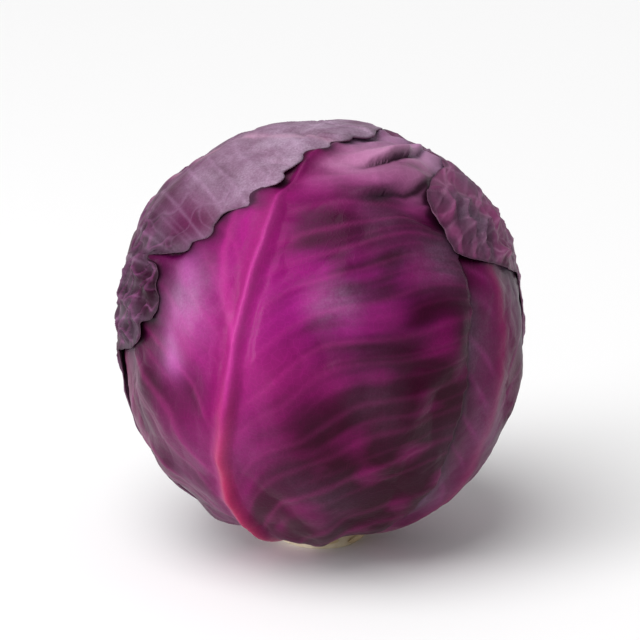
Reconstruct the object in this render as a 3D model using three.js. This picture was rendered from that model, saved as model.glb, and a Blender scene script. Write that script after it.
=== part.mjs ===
import * as THREE from 'three';

// Red cabbage: a firm round head of leaves wrapped over each other around a short cut stem.
// Units are millimetres, +Z is up, and the head stands on the flat cut face of its stem.

// The head as a whole
const HEAD_RADIUS = 76;        // half the width at the widest level
const CROWN_HEIGHT = 74;       // from the widest level up to the crown
const BASE_DEPTH = 81;         // from the widest level down to the leaf bases
const WAIST_HEIGHT = 85;       // the widest level above the table
const CROWN_FULLNESS = 2.1;    // 2 is a plain oval, more is squarer
const BASE_FULLNESS = 2.25;

// The stem: its cut stub below, and the tapering core the leaves grow from
const STEM_RADIUS = 16.6;
const STEM_PROFILE = [
  [0, 0],
  [STEM_RADIUS - 0.8, 0],
  [STEM_RADIUS, 0.8],
  [STEM_RADIUS - 0.4, 5],
  [14.2, 14],
  [12.2, 28],
  [9.8, 46],
  [7, 60],
  [3.6, 69],
  [0, 72],
];
const STEM_CLEARANCE = 0.5;

// The wrapper leaves
const WRAPPER_THICKNESS = 1.3;
const LEAF_GAP = 0.4;          // between one wrapper leaf and the next
const RIB_HEIGHT = 2.6;        // swelling of the midrib at the leaf's base
const RIB_HALF_WIDTH = 9;      // degrees around the head
const DRAPE_START = 13;        // degrees beyond a leaf's edge where the one over it starts to sink
const DRAPE_END = 30;
const WRAPPER_SPACING = 10.5;  // degrees between neighbouring points of a leaf's surface

// The leaves packed inside
const INNER_COUNT = 13;
const INNER_THICKNESS = 2;
const INNER_RADIUS = 60.5;     // the outermost of them, at the waist
const INNER_SPACING = 18;
const DIVERGENCE = 137.5;      // degrees around the stem from one leaf to the next

// Leaf outlines, seen from outside: [angle, reach] in degrees. Angle 0 points to the leaf's
// right and 90 to its tip; reach is how far around the head the blade runs from its middle.
const PLAIN_OUTLINE = [
  [-90, 95], [-80, 93], [-60, 80], [-30, 72], [0, 74], [30, 80], [60, 90], [90, 98],
  [120, 90], [150, 80], [180, 74], [210, 72], [240, 80], [260, 93],
];
const CROWN_OUTLINE = [
  [-90, 95], [-80, 90], [-65, 54], [-45, 36], [-20, 36], [-7, 47], [9, 55], [20, 53],
  [31, 55], [42, 68], [55, 79], [77, 88], [92, 94], [108, 92], [130, 86], [160, 80],
  [180, 76], [210, 74], [240, 82], [260, 93],
];
const RIGHT_OUTLINE = [
  [-90, 95], [-80, 93], [-65, 82], [-40, 72], [0, 66], [45, 62], [90, 52], [118, 46],
  [128, 61], [138, 69], [150, 71], [157, 63], [166, 49], [180, 35], [220, 46], [245, 72],
  [260, 91],
];
const FRONT_OUTLINE = [
  [-90, 95], [-80, 93], [-60, 80], [-30, 72], [0, 68], [28, 70], [45, 88], [62, 104],
  [80, 106], [100, 100], [130, 70], [165, 45], [195, 43], [217, 50], [232, 60], [250, 84],
  [260, 93],
];

// The wrapper leaves from the outermost inwards. The azimuth of each leaf's middle is
// counted from the front towards the right, and its level from straight down.
const WRAPPERS = [
  { name: 'wrapper_leaf_crown', azimuth: -110, level: 100, outline: CROWN_OUTLINE, colour: 0x8f6a8a },
  { name: 'wrapper_leaf_right', azimuth: 125, level: 105, outline: RIGHT_OUTLINE, colour: 0x704363 },
  { name: 'wrapper_leaf_front', azimuth: -24, level: 100, outline: FRONT_OUTLINE, colour: 0x8a2468 },
  { name: 'wrapper_leaf_back', azimuth: -162.5, level: 100, outline: PLAIN_OUTLINE, colour: 0x6f2f58 },
  { name: 'wrapper_leaf_front_right', azimuth: 60, level: 100, outline: PLAIN_OUTLINE, colour: 0x621d4c },
  { name: 'wrapper_leaf_left', azimuth: -77.5, level: 100, outline: PLAIN_OUTLINE, colour: 0x6b2a52 },
  { name: 'wrapper_leaf_back_right', azimuth: 145, level: 100, outline: PLAIN_OUTLINE, colour: 0x662650 },
  { name: 'wrapper_leaf_under_front', azimuth: 7.5, level: 100, outline: PLAIN_OUTLINE, colour: 0x5e1f4a },
];

const toRadians = THREE.MathUtils.degToRad;
const toDegrees = THREE.MathUtils.radToDeg;
const mix = THREE.MathUtils.lerp;
const smoothStep = THREE.MathUtils.smoothstep;

// A direction from the middle of the head: level 0 is straight down, azimuth 0 the front.
function direction(azimuth, level) {
  const around = toRadians(azimuth);
  const up = toRadians(level);
  return new THREE.Vector3(
    Math.sin(around) * Math.sin(up),
    -Math.cos(around) * Math.sin(up),
    -Math.cos(up),
  );
}

// Distance from the middle to an egg-shaped surface.
function eggRadius(way, width, crown, base) {
  const side = Math.hypot(way.x, way.y) / width;
  const rise = way.z > 0 ? way.z / crown : -way.z / base;
  const fullness = way.z > 0 ? CROWN_FULLNESS : BASE_FULLNESS;
  return (side ** fullness + rise ** fullness) ** (-1 / fullness);
}

// Level rings of directions from a round opening at the bottom up to the crown,
// with triangles between neighbouring rings.
function ringDirections(opening, spacing) {
  const rings = [];
  const ways = [];
  const triangles = [];
  const steps = Math.round((180 - opening) / spacing);
  for (let step = 0; step <= steps; step += 1) {
    const level = mix(opening, 180, step / steps);
    const fitted = Math.round(360 * Math.sin(toRadians(level)) / spacing);
    const fewest = level < 90 ? 16 : 6;
    const count = step === steps ? 1 : Math.max(fewest, fitted);
    const ring = [];
    for (let place = 0; place < count; place += 1) {
      ring.push(ways.length);
      ways.push(direction(360 * place / count, level));
    }
    rings.push(ring);
  }
  for (let row = 0; row < steps; row += 1) {
    const lower = rings[row];
    const upper = rings[row + 1];
    const upperSteps = upper.length === 1 ? 0 : upper.length;
    let low = 0;
    let high = 0;
    while (low < lower.length || high < upperSteps) {
      const a = lower[low % lower.length];
      const b = upper[high % upper.length];
      const lowNext = (low + 1) / lower.length;
      const highNext = upperSteps ? (high + 1) / upperSteps : Infinity;
      if (lowNext <= highNext) {
        low += 1;
        triangles.push([a, lower[low % lower.length], b]);
      } else {
        high += 1;
        triangles.push([a, upper[high % upper.length], b]);
      }
    }
  }
  return { ways, triangles };
}

// How far a leaf's blade reaches at an angle around its middle.
function reachAt(outline, angle) {
  const wrapped = ((angle + 90) % 360 + 360) % 360 - 90;
  const after = outline.findIndex((point) => point[0] > wrapped);
  const next = after < 0 ? [270, outline[0][1]] : outline[after];
  const previous = outline[after < 0 ? outline.length - 1 : after - 1];
  return mix(previous[1], next[1], (wrapped - previous[0]) / (next[0] - previous[0]));
}

// Where a direction falls on a leaf, in degrees: across to its right, along to its tip,
// and how far inside the outline it is.
function placeOnLeaf(way, leaf) {
  const middle = direction(leaf.azimuth, leaf.level);
  const tipward = direction(leaf.azimuth, leaf.level + 90);
  const rightward = new THREE.Vector3().crossVectors(tipward, middle);
  const distance = toDegrees(middle.angleTo(way));
  const angle = Math.atan2(way.dot(tipward), way.dot(rightward));
  return {
    across: distance * Math.cos(angle),
    along: distance * Math.sin(angle),
    inside: reachAt(leaf.outline, toDegrees(angle)) - distance,
  };
}

// The midrib swells most at the base and fades out towards the tip, swinging to the right.
function ribSwelling(place) {
  const swing = place.along > 0 ? 0.1 + 0.001 * place.along : 0.1 * (1 - (place.along / 95) ** 2);
  const offset = (place.across - swing * place.along) / RIB_HALF_WIDTH;
  const fade = THREE.MathUtils.clamp((90 - place.along) / 180, 0, 1);
  return RIB_HEIGHT * fade ** 1.5 * Math.exp(-offset * offset);
}

// A closed leaf between an outer and an inner surface, cut along its outline.
// Where a triangle crosses the outline only its inside part is kept.
function leafGeometry(triangles, inside, outer, inner) {
  const points = [];
  const faces = [];
  const known = new Map();
  const corner = (a, b) => {
    const key = a === b ? `${a}` : `${Math.min(a, b)}-${Math.max(a, b)}`;
    if (!known.has(key)) {
      const [from, to] = a < b ? [a, b] : [b, a];
      const cut = a === b ? 0 : inside[from] / (inside[from] - inside[to]);
      const share = a === b ? 0 : THREE.MathUtils.clamp(cut, 0.15, 0.85);
      known.set(key, points.length / 2);
      points.push(outer[from].clone().lerp(outer[to], share));
      points.push(inner[from].clone().lerp(inner[to], share));
    }
    return known.get(key);
  };
  const edges = new Map();
  for (const triangle of triangles) {
    const kept = [];
    triangle.forEach((a, index) => {
      const b = triangle[(index + 1) % 3];
      if (inside[a] > 0) kept.push(corner(a, a));
      if ((inside[a] > 0) !== (inside[b] > 0)) kept.push(corner(a, b));
    });
    for (let index = 2; index < kept.length; index += 1) {
      const face = [kept[0], kept[index - 1], kept[index]];
      faces.push(face.map((point) => 2 * point));
      faces.push(face.map((point) => 2 * point + 1).reverse());
      face.forEach((point, place) => {
        const next = face[(place + 1) % 3];
        if (!edges.delete(`${next}-${point}`)) edges.set(`${point}-${next}`, [point, next]);
      });
    }
  }
  for (const [from, to] of edges.values()) {
    faces.push([2 * to, 2 * from, 2 * from + 1]);
    faces.push([2 * to, 2 * from + 1, 2 * to + 1]);
  }
  const geometry = new THREE.BufferGeometry().setFromPoints(points);
  geometry.setIndex(faces.flat());
  geometry.computeVertexNormals();
  return geometry;
}

// Points on the rays at the given distances from a centre on the stem's axis.
function alongRays(ways, distances, height) {
  return ways.map((way, index) => {
    const point = way.clone().multiplyScalar(distances[index]);
    point.z += height;
    return point;
  });
}

function stemRadiusAt(height) {
  const upper = STEM_PROFILE.findIndex((point) => point[1] > height);
  if (upper < 1) return upper < 0 ? 0 : STEM_RADIUS;
  const [from, to] = [STEM_PROFILE[upper - 1], STEM_PROFILE[upper]];
  return mix(from[0], to[0], (height - from[1]) / (to[1] - from[1]));
}

const group = new THREE.Group();
group.name = 'red_cabbage';

function addPiece(name, geometry, colour, roughness) {
  const material = new THREE.MeshStandardMaterial({ color: colour, roughness, metalness: 0 });
  const mesh = new THREE.Mesh(geometry, material);
  mesh.name = name;
  group.add(mesh);
}

// Stem and core, turned about the axis.
const stemProfile = STEM_PROFILE.map(([radius, height]) => new THREE.Vector2(radius, height));
const stemGeometry = new THREE.LatheGeometry(stemProfile, 24);
stemGeometry.rotateX(Math.PI / 2);
addPiece('stem_core', stemGeometry, 0xe6dcc0, 0.6);

// Wrapper leaves. All of them share one set of rays from the middle of the head, and each
// is laid over the ones inside it, so they never meet.
const stemOpening = toDegrees(Math.atan((STEM_RADIUS + 0.9) / (WAIST_HEIGHT - 4)));
const shell = ringDirections(stemOpening, WRAPPER_SPACING);
const layers = WRAPPERS.map((leaf) => {
  const places = shell.ways.map((way) => placeOnLeaf(way, leaf));
  const covered = shell.ways.filter((way, index) => places[index].inside > 0);
  const cover = shell.ways.map((way) => {
    const nearest = Math.min(...covered.map((other) => toDegrees(way.angleTo(other))));
    return 1 - smoothStep(nearest, DRAPE_START, DRAPE_END);
  });
  const rib = places.map((place) => ribSwelling(place));
  return { leaf, cover, rib, inside: places.map((place) => place.inside) };
});
const layerStep = WRAPPER_THICKNESS + LEAF_GAP;
const height = shell.ways.map((way, index) => {
  const stacked = layers.reduce((sum, layer) => sum + layerStep * layer.cover[index], 0);
  return eggRadius(way, HEAD_RADIUS, CROWN_HEIGHT, BASE_DEPTH) - stacked;
});
for (const layer of layers.slice().reverse()) {
  const bottom = alongRays(shell.ways, height, WAIST_HEIGHT);
  const top = height.map((value, index) => value + WRAPPER_THICKNESS + layer.rib[index] * layer.cover[index]);
  const surface = alongRays(shell.ways, top, WAIST_HEIGHT);
  const blade = leafGeometry(shell.triangles, layer.inside, surface, bottom);
  addPiece(layer.leaf.name, blade, layer.leaf.colour, 0.45);
  height.forEach((value, index) => {
    height[index] += (layerStep + layer.rib[index]) * layer.cover[index];
  });
}

// Leaves packed inside, each one smaller and set higher on the core than the one around it.
for (let turn = 0; turn < INNER_COUNT; turn += 1) {
  const part = turn / (INNER_COUNT + 1);
  const width = INNER_RADIUS * (1 - part);
  const middle = mix(WAIST_HEIGHT, 94, part);
  const crown = width * CROWN_HEIGHT / HEAD_RADIUS;
  const base = middle - mix(18, 66, part);
  const leaf = { azimuth: -130 - DIVERGENCE * turn, level: 98, outline: PLAIN_OUTLINE };
  let opening = 8;
  let clearance = -1;
  while (clearance < STEM_CLEARANCE) {
    opening += 0.5;
    const way = direction(0, opening);
    const reach = eggRadius(way, width, crown, base) - INNER_THICKNESS;
    const corner = reach * Math.sin(toRadians(opening)) * Math.cos(Math.PI / 16);
    clearance = corner - stemRadiusAt(middle - (reach + INNER_THICKNESS) * Math.cos(toRadians(opening)));
  }
  const { ways, triangles } = ringDirections(opening, INNER_SPACING);
  const outer = ways.map((way) => eggRadius(way, width, crown, base));
  const inner = outer.map((value) => value - INNER_THICKNESS);
  const inside = ways.map((way) => placeOnLeaf(way, leaf).inside);
  const blade = leafGeometry(
    triangles,
    inside,
    alongRays(ways, outer, middle),
    alongRays(ways, inner, middle),
  );
  const name = `inner_leaf_${String(turn + 1).padStart(2, '0')}`;
  addPiece(name, blade, turn < 3 ? 0x7a3562 : 0xb88bb0, 0.5);
}

// The tight bud of young leaves at the heart, standing on the tip of the core.
const bud = new THREE.SphereGeometry(1, 12, 8);
bud.rotateX(Math.PI / 2);
bud.scale(5.5, 5.5, 9);
bud.translate(0, 0, 82);
addPiece('heart_bud', bud, 0xd8c4d0, 0.5);

// The leaves spread a little unevenly, so the whole head is set squarely over the origin.
const extent = new THREE.Box3().setFromObject(group);
const middleOfHead = extent.getCenter(new THREE.Vector3());
group.children.forEach((mesh) => mesh.geometry.translate(-middleOfHead.x, -middleOfHead.y, 0));

export default group;
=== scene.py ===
"""Red cabbage: a whole head of purple leaves wrapped over each other on a short cut stem."""
import math

import bpy
import numpy as np
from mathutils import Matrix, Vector


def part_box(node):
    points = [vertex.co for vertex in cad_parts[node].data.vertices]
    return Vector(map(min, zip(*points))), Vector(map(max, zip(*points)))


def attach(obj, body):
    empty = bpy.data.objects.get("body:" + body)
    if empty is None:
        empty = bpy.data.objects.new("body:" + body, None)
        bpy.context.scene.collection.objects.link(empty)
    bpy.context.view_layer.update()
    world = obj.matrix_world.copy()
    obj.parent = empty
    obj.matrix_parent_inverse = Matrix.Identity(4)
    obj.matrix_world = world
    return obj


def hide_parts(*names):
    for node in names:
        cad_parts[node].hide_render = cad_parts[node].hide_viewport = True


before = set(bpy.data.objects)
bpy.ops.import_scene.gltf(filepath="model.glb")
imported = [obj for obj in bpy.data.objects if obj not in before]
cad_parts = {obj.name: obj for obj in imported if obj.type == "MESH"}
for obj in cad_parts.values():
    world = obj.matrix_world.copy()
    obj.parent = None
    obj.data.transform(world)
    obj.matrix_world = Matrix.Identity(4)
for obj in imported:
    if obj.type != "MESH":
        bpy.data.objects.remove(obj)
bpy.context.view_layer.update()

bl_info = {
    "name": "Red Cabbage Head",
    "version": (1, 0, 0),
    "blender": (4, 5, 0),
    "location": "View3D > Sidebar > Cabbage",
    "description": "Builds a whole red cabbage leaf by leaf, with its stem and a plain studio",
    "category": "Add Mesh",
}

MM = 0.001
STEM_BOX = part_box("stem_core")
AXIS_X = (STEM_BOX[0][0] + STEM_BOX[1][0]) / 2 / MM
AXIS_Y = (STEM_BOX[0][1] + STEM_BOX[1][1]) / 2 / MM

# Sizes of the head in millimetres, as the solids have them
WAIST_HEIGHT = 85.0
CROWN_HEIGHT = 74.0
BASE_DEPTH = 81.0
CROWN_FULLNESS = 2.1
BASE_FULLNESS = 2.25
LEAF_GAP = 0.4
INNER_RADIUS = 60.5
STEM_HALF = 16.6
HEAD_RADIUS = 76.0
INNER_FULLNESS = 2.2
GOLDEN_TURN = 137.5            # degrees between one leaf and the next around the stem
MM_PER_DEGREE = 1.33           # one degree around the head, measured on its skin


# ---------------------------------------------------------------- geometry helpers

def way(azimuth, level):
    """Direction from the middle of the head; level 0 is straight down, azimuth 0 the front."""
    around = np.radians(azimuth)
    up = np.radians(level)
    return np.stack([np.sin(around) * np.sin(up), -np.cos(around) * np.sin(up),
                     -np.cos(up) + 0 * around], axis=-1)


def egg_radius(ways, width, crown, base):
    """Distance from the middle to an egg-shaped skin along each direction."""
    side = np.hypot(ways[..., 0], ways[..., 1]) / width
    above = ways[..., 2] > 0
    rise = np.abs(ways[..., 2]) / np.where(above, crown, base)
    fullness = np.where(above, CROWN_FULLNESS, BASE_FULLNESS)
    return (side ** fullness + rise ** fullness) ** (-1.0 / fullness)


def smooth(value, low, high):
    t = np.clip((value - low) / (high - low), 0.0, 1.0)
    return t * t * (3.0 - 2.0 * t)


def bump(value, width):
    return np.exp(-(value / width) ** 2)


def waves(points, wavelength, seed, count=26):
    """Soft random hills of about unit height over points, the same for each seed."""
    rng = np.random.default_rng(seed)
    total = np.zeros(points.shape[:-1])
    for _ in range(count):
        heading = rng.normal(size=points.shape[-1])
        heading *= rng.uniform(0.7, 1.3) * 2 * math.pi / wavelength / np.linalg.norm(heading)
        total += np.cos(points @ heading + rng.uniform(0, 2 * math.pi))
    return total / math.sqrt(count / 2)


def creases(points, wavelength, seed):
    """Sharp crumple lines: 1 on a crease and falling to 0 between them."""
    return 1.0 - np.minimum(1.0, np.abs(waves(points, wavelength, seed)) * 1.4)


def cells(points, spacing, seed, stretch=1.0):
    """A net of uneven cells: distance to the nearest wall, and each cell's own slight tilt."""
    rng = np.random.default_rng(seed)
    flat = points * np.array([1.0 / stretch, 1.0])
    low = flat.min(axis=0) - spacing
    count = np.ceil((flat.max(axis=0) + spacing - low) / spacing).astype(int)
    grid = np.stack(np.meshgrid(np.arange(count[0]), np.arange(count[1]), indexing="ij"), axis=-1)
    seeds = low + (grid + rng.uniform(0.05, 0.95, grid.shape)) * spacing
    lean = rng.normal(size=grid.shape)
    home = np.floor((flat - low) / spacing).astype(int)
    nearest = np.full(len(flat), 1e9)
    second = np.full(len(flat), 1e9)
    tilt = np.zeros(len(flat))
    for step_x in (-2, -1, 0, 1, 2):
        for step_y in (-2, -1, 0, 1, 2):
            x = np.clip(home[:, 0] + step_x, 0, count[0] - 1)
            y = np.clip(home[:, 1] + step_y, 0, count[1] - 1)
            offset = flat - seeds[x, y]
            distance = np.linalg.norm(offset, axis=1)
            distance[(x != home[:, 0] + step_x) | (y != home[:, 1] + step_y)] = 1e9
            tilt = np.where(distance < nearest, np.sum(offset * lean[x, y], axis=1) / spacing, tilt)
            second = np.minimum(second, np.maximum(nearest, distance))
            nearest = np.minimum(nearest, distance)
    return second - nearest, tilt


def along_line(points, line):
    """Distance to a bent line, how far along it (0 to 1), and which side (+ is its left)."""
    line = np.asarray(line, float)
    lengths = np.linalg.norm(np.diff(line, axis=0), axis=1)
    starts = np.concatenate([[0.0], np.cumsum(lengths)])
    best = np.full(len(points), 1e9)
    share = np.zeros(len(points))
    side = np.ones(len(points))
    for index, length in enumerate(lengths):
        step = (line[index + 1] - line[index]) / length
        offset = points - line[index]
        run = np.clip(offset @ step, 0, length)
        distance = np.linalg.norm(offset - run[:, None] * step, axis=1)
        closer = distance < best
        best = np.where(closer, distance, best)
        share = np.where(closer, (starts[index] + run) / starts[-1], share)
        turn = step[0] * offset[:, 1] - step[1] * offset[:, 0]
        side = np.where(closer, np.sign(turn) + (turn == 0), side)
    return best, share, side


def linear(hex_colour):
    """An sRGB hex colour as linear red, green and blue."""
    value = hex_colour.lstrip("#")
    channels = [int(value[place:place + 2], 16) / 255 for place in (0, 2, 4)]
    return tuple(c / 12.92 if c <= 0.04045 else ((c + 0.055) / 1.055) ** 2.4 for c in channels)


def tint(base, hex_colour, amount):
    """Bring a colour into a painted skin by an amount at each point."""
    share = np.clip(amount, 0, 1)[:, None]
    return base * (1 - share) + np.array(linear(hex_colour)) * share


# ---------------------------------------------------------------- the leaves' outlines

# [angle, reach] in degrees, seen from outside: angle 0 points to the leaf's right and 90
# to its tip, and reach is how far around the head the blade runs from its middle.
PLAIN_OUTLINE = [
    (-90, 95), (-80, 93), (-60, 80), (-30, 72), (0, 74), (30, 80), (60, 90), (90, 98),
    (120, 90), (150, 80), (180, 74), (210, 72), (240, 80), (260, 93),
]
CROWN_OUTLINE = [
    (-90, 95), (-80, 90), (-65, 54), (-45, 37), (-28, 34), (-17, 40), (-12, 46), (-4, 50),
    (2, 50), (5, 55), (9, 57), (13, 56.5), (17, 54), (21, 53.5), (23.5, 51.5), (25, 46), (26.5, 46),
    (28, 56), (29, 61), (30, 63), (33, 63), (34.5, 67), (37.5, 68.5), (39, 68),
    (40.5, 69), (43, 70), (44.5, 72), (45.5, 76), (47.5, 78), (50.5, 76.5), (52, 77),
    (54, 78.5), (55.5, 82), (58, 83), (60, 81), (63, 82.5), (66, 84.5), (69, 84), (71, 84.5),
    (73, 87), (76, 88), (79, 87.5), (81, 90), (84, 91.5), (87, 91), (90, 94), (94, 95),
    (101, 93), (108, 92), (130, 86), (160, 80), (180, 76), (210, 74), (240, 82), (260, 93),
]
RIGHT_OUTLINE = [
    (-90, 95), (-80, 93), (-65, 82), (-40, 72), (0, 66), (45, 62), (90, 52), (112, 44),
    (120, 48), (126, 58), (129, 65), (132, 68), (136, 69), (140, 71.5), (144, 71), (148, 72),
    (152, 72), (155, 68), (158, 63), (161, 57), (166, 49), (173, 38), (184, 34), (205, 38),
    (225, 50), (245, 72), (260, 91),
]
FRONT_OUTLINE = [
    (-90, 95), (-80, 93), (-60, 80), (-30, 73), (0, 69), (16, 70), (28, 71), (45, 88), (62, 104),
    (80, 106), (100, 100), (130, 70), (150, 50), (165, 44), (180, 42), (195, 43), (207, 46),
    (217, 50), (232, 60), (250, 84), (260, 93),
]


class Leaf:
    """One wrapper leaf: where it sits, its outline, and how its blade is worked."""

    def __init__(self, name, azimuth, level, outline, **work):
        self.name = name
        self.outline = outline
        self.middle = way(azimuth, level)
        self.tipward = way(azimuth, level + 90)
        self.rightward = np.cross(self.tipward, self.middle)
        self.seed = work.get("seed", 1)
        self.crumple = work.get("crumple", 0.5)
        self.quilt = work.get("quilt", 0.35)
        self.veins = work.get("veins", 0.25)
        self.cell = work.get("cell", 9.0)
        self.facet = work.get("facet", 0.0)
        self.vein_width = work.get("vein_width", 1.15)
        self.depth = work.get("depth", 1.25)
        self.lift = work.get("lift", 0.6)
        self.rough_edge = work.get("rough_edge", 1.2)
        self.rib = work.get("rib", 2.2)
        self.rib_line = work.get("rib_line", PLAIN_RIB)
        self.vein_step = work.get("vein_step", 12.0)
        self.paint = work["paint"]
        self.extra = work.get("extra")
        self.still_rear = work.get("still_rear", False)
        self.fineness = work.get("fineness", 181)
        angles = np.arange(-90, 270, 0.25)
        corners = np.array(outline, float)
        reach = np.interp(angles, np.append(corners[:, 0], 270), np.append(corners[:, 1], corners[0, 1]))
        spread = work.get("soften", 2.0)
        offsets = np.arange(-40, 41) * 0.25
        kernel = bump(offsets, spread)
        padded = np.concatenate([reach[-40:], reach, reach[:40]])
        reach = np.convolve(padded, kernel / kernel.sum(), mode="valid")
        ring = np.stack([np.cos(np.radians(angles)), np.sin(np.radians(angles))], axis=-1) * 30
        ragged = waves(ring, 5.0, self.seed + 50) + 0.5 * waves(ring, 2.2, self.seed + 51)
        away_from_stem = smooth(np.abs(angles + 90), 20, 50) * smooth(np.abs(angles - 270), 20, 50)
        self.angles = np.append(angles, 270)
        reach = reach + self.rough_edge * 0.5 * ragged * away_from_stem
        self.reach = np.append(reach, reach[0])

    def reach_at(self, angle):
        return np.interp((angle + 90) % 360 - 90, self.angles, self.reach)

    def place(self, ways):
        """Across to the right, along to the tip, and inside the outline, in degrees."""
        angle = np.arctan2(ways @ self.tipward, ways @ self.rightward)
        distance = np.degrees(np.arccos(np.clip(ways @ self.middle, -1, 1)))
        inside = self.reach_at(np.degrees(angle)) - distance
        return np.stack([distance * np.cos(angle), distance * np.sin(angle)], axis=-1), inside

    def aim(self, spots):
        """Directions of spots given in degrees across and along the leaf."""
        distance = np.radians(np.hypot(spots[:, 0], spots[:, 1]))
        angle = np.arctan2(spots[:, 1], spots[:, 0])
        outward = np.cos(angle)[:, None] * self.rightward + np.sin(angle)[:, None] * self.tipward
        return np.cos(distance)[:, None] * self.middle + np.sin(distance)[:, None] * outward

    def rib_offset(self, spots):
        line = np.array(self.rib_line, float)
        return spots[:, 0] - np.interp(spots[:, 1], line[:, 1], line[:, 0])

    def vein_field(self, spots):
        """Rank of each spot along the side veins, which leave the rib and bend outwards."""
        away = self.rib_offset(spots)
        distance = np.abs(away)
        steepness = 1.6 - 1.2 * smooth(spots[:, 1], 10, 60)
        wander = 1.5 * waves(spots, 45.0, self.seed + 7)
        rank = spots[:, 1] - steepness * 26 * (1 - np.exp(-distance / 28)) + wander
        return np.where(away < 0, rank + 0.45 * self.vein_step, rank), away

    def swelling(self, spots):
        """The midrib's broad swelling, strongest at the base."""
        fade = np.clip((90 - spots[:, 1]) / 180, 0, 1)
        away = self.rib_offset(spots)
        return self.rib * fade ** 1.5 * bump(away, 4.5)


PLAIN_RIB = [(-2, -100), (-3, -60), (-3, -35), (0, -10), (2, 10), (4, 35), (6, 50), (11, 66), (18, 90)]
FRONT_RIB = [(-3, -100), (-5, -70), (-6, -50), (-5, -35), (-2, -24), (0, -13), (1, -4), (2, 5), (3, 12),
             (4, 19), (5, 27), (5, 35), (4, 43), (6, 49), (7, 56), (11, 66), (15, 79), (20, 95)]


def side_veins(leaf, spots):
    """Strength and closeness of the side veins: main ones, and finer ones that join in further out."""
    rank, away = leaf.vein_field(spots)
    distance = np.abs(away)
    rng = np.random.default_rng(leaf.seed + 61)
    strength = rng.uniform(0.35, 1.0, (2, 64))
    shift = rng.uniform(-0.25, 0.25, (2, 64))
    side = (away > 0).astype(int)
    ridge = np.zeros(len(spots))
    kinds = ((0.0, leaf.vein_width, smooth(distance, 0.5, 6) * (1 - 0.5 * smooth(distance, 20, 75))),
             (0.5, 0.65 * leaf.vein_width, smooth(distance, 10, 30) * 0.4))
    for start, width, presence in kinds:
        count = np.floor(rank / leaf.vein_step + start + 0.5).astype(int)
        centre = (count - start + shift[side, count % 64]) * leaf.vein_step
        ridge = np.maximum(ridge, bump(rank - centre, width) * presence * strength[side, count % 64])
    return ridge, rank, away


def streaks(leaf, rank, away, seed):
    """Uneven streaks that run along the side veins, from broad to fine."""
    total = np.zeros(len(rank))
    for wavelength, length, share in ((18.0, 1.5, 0.6), (8.0, 2.6, 0.3), (3.0, 6.0, 0.1)):
        spots = np.stack([rank, np.abs(away) / length + 40 * (away > 0)], -1)
        total += share * waves(spots, wavelength, leaf.seed + seed + int(wavelength))
    return total


# ---------------------------------------------------------------- how each leaf is painted

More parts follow.
